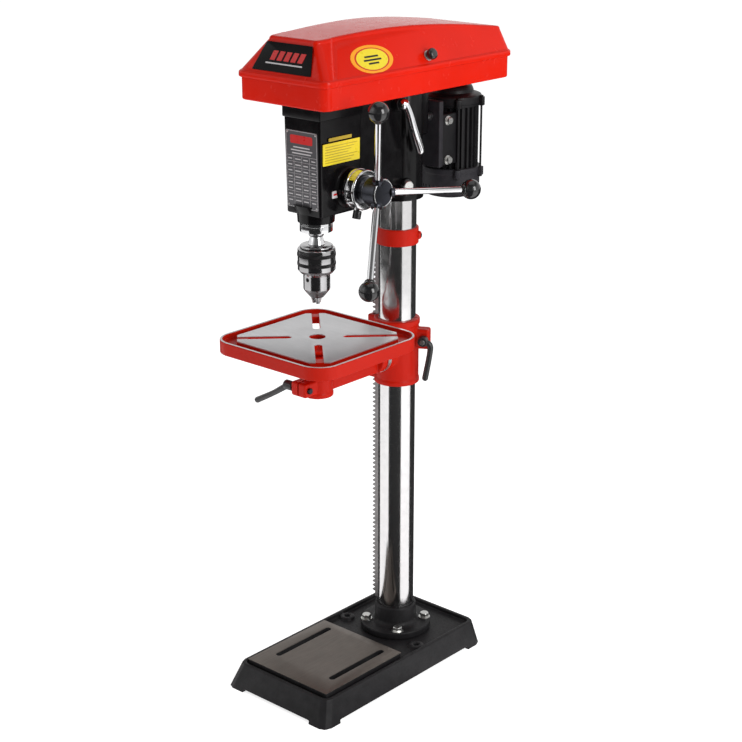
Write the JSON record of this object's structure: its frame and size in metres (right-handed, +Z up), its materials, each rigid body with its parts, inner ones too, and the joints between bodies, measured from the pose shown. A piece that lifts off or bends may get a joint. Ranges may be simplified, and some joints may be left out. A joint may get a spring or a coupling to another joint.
{
  "type": "drill press",
  "caption": "Floor-standing pedestal drill press with belt cover, three-lever feed, keyed chuck, tilting square table on a rack lift, round column and cast base.",
  "frame": {"origin": "the column's axis at floor level, on the cross of the ribs under the base", "axes": "+Z up along the column, -Y towards the operator and the table, +Y towards the motor, +X the side of the feed levers"},
  "size_m": [0.3861, 0.584, 1.2855],
  "materials": {
    "black_casting": "satin black paint on a cast surface",
    "black_gloss": "glossy black enamel",
    "red_paint": "glossy red enamel",
    "table_iron": "ground top, red enamel rim",
    "chrome": "polished",
    "steel": "machined",
    "dark_steel": "hardened, dark and polished",
    "aluminium": "turned",
    "black_plastic": "moulded black phenolic",
    "green_plastic": "moulded",
    "red_plastic": "moulded",
    "belt_rubber": "matte V belt"
  },
  "bodies": {
    "root": {"base_casting": "black_casting", "column_flange": "black_casting", "flange_bolt_1": "steel", "flange_bolt_2": "steel", "flange_bolt_3": "steel", "flange_bolt_4": "steel", "column": "chrome", "rack_collar": "red_paint", "head_casting": "black_gloss", "return_spring_housing": "black_gloss", "switch_box": "black_plastic", "belt_cover_pan": "red_paint", "lid_hinge_pin": "dark_steel", "front_belt": "belt_rubber", "rear_belt": "belt_rubber"},
    "rack": {"column_rack": "steel"},
    "bracket": {"table_bracket": "red_paint", "tilt_bolt": "steel"},
    "lift_gear": {"lift_gear": "steel"},
    "crank": {"lift_worm": "steel", "lift_crank": "black_casting"},
    "crank_grip": {"crank_grip": "black_plastic"},
    "bracket_lock": {"bracket_lock_lever": "black_plastic"},
    "arm": {"table_arm": "red_paint"},
    "table_lock": {"table_lock_lever": "black_plastic"},
    "table": {"table": "table_iron"},
    "quill": {"quill": "chrome", "quill_bearing": "steel"},
    "spindle": {"spindle": "steel", "chuck_arbor": "steel", "chuck_body": "dark_steel"},
    "chuck_sleeve": {"chuck_sleeve": "dark_steel"},
    "jaw_1": {"chuck_jaw_1": "steel"},
    "jaw_2": {"chuck_jaw_2": "steel"},
    "jaw_3": {"chuck_jaw_3": "steel"},
    "feed": {"feed_pinion_shaft": "steel", "feed_hub": "dark_steel", "feed_lever_1": "chrome", "feed_lever_2": "chrome", "feed_lever_3": "chrome", "lever_knob_1": "black_plastic", "lever_knob_2": "black_plastic", "lever_knob_3": "black_plastic"},
    "depth_ring": {"depth_ring": "aluminium"},
    "depth_screw": {"depth_lock_screw": "black_plastic"},
    "lid": {"belt_cover_lid": "red_paint", "lid_knob": "black_plastic"},
    "spindle_pulley": {"spindle_pulley": "aluminium"},
    "idler": {"idler_pulley": "aluminium"},
    "motor": {"motor_mount_plate": "black_casting", "slide_bar_left": "steel", "slide_bar_right": "steel", "motor_frame": "black_casting", "motor_fan_cover": "black_plastic", "motor_end_bell": "black_casting"},
    "motor_shaft": {"motor_shaft": "steel", "motor_pulley": "aluminium"},
    "tension_lever": {"tension_lever": "steel"},
    "start_button": {"start_button": "green_plastic"},
    "stop_button": {"stop_button": "red_plastic"}
  },
  "joints": [
    {"name": "table_swing", "type": "hinge", "parent": "root", "child": "rack", "pos_m": [0, 0, 0.0985], "axis": [0, 0, 1], "range_deg": [-170, 170]},
    {"name": "table_lift", "type": "slide", "parent": "rack", "child": "bracket", "axis": [0, 0, -1], "range_m": [-0.055, 0.44]},
    {"name": "lift_gear_turn", "type": "hinge", "parent": "bracket", "child": "lift_gear", "pos_m": [-0.06365, -0.00669, 0.64022], "axis": [0.1045, -0.9945, 0], "range_deg": [-212, 1684]},
    {"name": "crank_turn", "type": "hinge", "parent": "bracket", "child": "crank", "pos_m": [-0.14918, -0.01568, 0.61572], "axis": [-0.9945, -0.1045, 0], "range_deg": [-2115, 16830]},
    {"name": "crank_grip_spin", "type": "hinge", "parent": "crank", "child": "crank_grip", "pos_m": [-0.16111, -0.01693, 0.67072], "axis": [-0.9945, -0.1045, 0], "continuous": true},
    {"name": "bracket_lock_turn", "type": "hinge", "parent": "bracket", "child": "bracket_lock", "pos_m": [0.0485, 0.028, 0.672], "axis": [0.5, -0.866, 0], "range_deg": [0, 90]},
    {"name": "table_tilt", "type": "hinge", "parent": "bracket", "child": "arm", "pos_m": [0, -0.062, 0.645], "axis": [0, 1, 0], "range_deg": [-45, 45]},
    {"name": "table_lock_turn", "type": "hinge", "parent": "arm", "child": "table_lock", "pos_m": [-0.03, -0.27, 0.634], "axis": [1, 0, 0], "range_deg": [-70, 70]},
    {"name": "table_spin", "type": "hinge", "parent": "arm", "child": "table", "pos_m": [0, -0.226, 0.725], "axis": [0, 0, 1], "range_deg": [-180, 180]},
    {"name": "quill_travel", "type": "slide", "parent": "root", "child": "quill", "axis": [0, 0, -1], "range_m": [0, 0.06], "stiffness_N_per_m": 700, "springref_m": -0.13},
    {"name": "spindle_spin", "type": "hinge", "parent": "quill", "child": "spindle", "pos_m": [0, -0.226, 0.918], "axis": [0, 0, 1], "continuous": true},
    {"name": "chuck_sleeve_turn", "type": "hinge", "parent": "spindle", "child": "chuck_sleeve", "pos_m": [0, -0.226, 0.8709], "axis": [0, 0, 1], "range_deg": [0, 720]},
    {"name": "jaw_1_slide", "type": "slide", "parent": "spindle", "child": "jaw_1", "axis": [0, 0.2588, 0.9659], "range_m": [0, 0.0121]},
    {"name": "jaw_2_slide", "type": "slide", "parent": "spindle", "child": "jaw_2", "axis": [-0.2241, -0.1294, 0.9659], "range_m": [0, 0.0121]},
    {"name": "jaw_3_slide", "type": "slide", "parent": "spindle", "child": "jaw_3", "axis": [0.2241, -0.1294, 0.9659], "range_m": [0, 0.0121]},
    {"name": "feed_turn", "type": "hinge", "parent": "root", "child": "feed", "pos_m": [0.127, -0.185, 1.008], "axis": [1, 0, 0], "range_deg": [0, 247]},
    {"name": "depth_ring_turn", "type": "hinge", "parent": "feed", "child": "depth_ring", "pos_m": [0.076, -0.185, 1.008], "axis": [1, 0, 0], "range_deg": [-150, 150]},
    {"name": "depth_screw_turn", "type": "hinge", "parent": "depth_ring", "child": "depth_screw", "pos_m": [0.0734, -0.19535, 0.96936], "axis": [0, -0.2588, -0.9659], "range_deg": [-180, 180]},
    {"name": "lid_hinge", "type": "hinge", "parent": "root", "child": "lid", "pos_m": [-0.111, 0, 1.2], "axis": [0, -1, 0], "range_deg": [0, 95]},
    {"name": "spindle_pulley_spin", "type": "hinge", "parent": "root", "child": "spindle_pulley", "pos_m": [0, -0.226, 1.178], "axis": [0, 0, 1], "continuous": true},
    {"name": "idler_spin", "type": "hinge", "parent": "root", "child": "idler", "pos_m": [0, -0.035, 1.178], "axis": [0, 0, 1], "continuous": true},
    {"name": "motor_slide", "type": "slide", "parent": "root", "child": "motor", "axis": [0, -1, 0], "range_m": [0, 0.013]},
    {"name": "motor_spin", "type": "hinge", "parent": "motor", "child": "motor_shaft", "pos_m": [0, 0.158, 1.15], "axis": [0, 0, 1], "continuous": true},
    {"name": "tension_lever_turn", "type": "hinge", "parent": "root", "child": "tension_lever", "pos_m": [0.06, -0.047, 1.14], "axis": [-1, 0, 0], "range_deg": [0, 60]},
    {"name": "start_press", "type": "slide", "parent": "root", "child": "start_button", "axis": [1, 0, 0], "range_m": [0, 0.003], "stiffness_N_per_m": 500, "springref_m": -0.002},
    {"name": "stop_press", "type": "slide", "parent": "root", "child": "stop_button", "axis": [1, 0, 0], "range_m": [0, 0.003], "stiffness_N_per_m": 500, "springref_m": -0.002}
  ],
  "couplings": [
    {"joint": "lift_gear_turn", "follows": "table_lift", "rad_per_m": 66.667},
    {"joint": "crank_turn", "follows": "table_lift", "rad_per_m": 666.67},
    {"joint": "feed_turn", "follows": "quill_travel", "rad_per_m": 71.429},
    {"joint": "spindle_pulley_spin", "follows": "spindle_spin", "ratio": 1},
    {"joint": "idler_spin", "follows": "spindle_spin", "ratio": 0.96},
    {"joint": "motor_spin", "follows": "spindle_spin", "ratio": 2.7055},
    {"joint": "jaw_1_slide", "follows": "chuck_sleeve_turn", "m_per_rad": 0.00095493},
    {"joint": "jaw_2_slide", "follows": "chuck_sleeve_turn", "m_per_rad": 0.00095493},
    {"joint": "jaw_3_slide", "follows": "chuck_sleeve_turn", "m_per_rad": 0.00095493},
    {"joint": "tension_lever_turn", "follows": "motor_slide", "rad_per_m": 80}
  ]
}
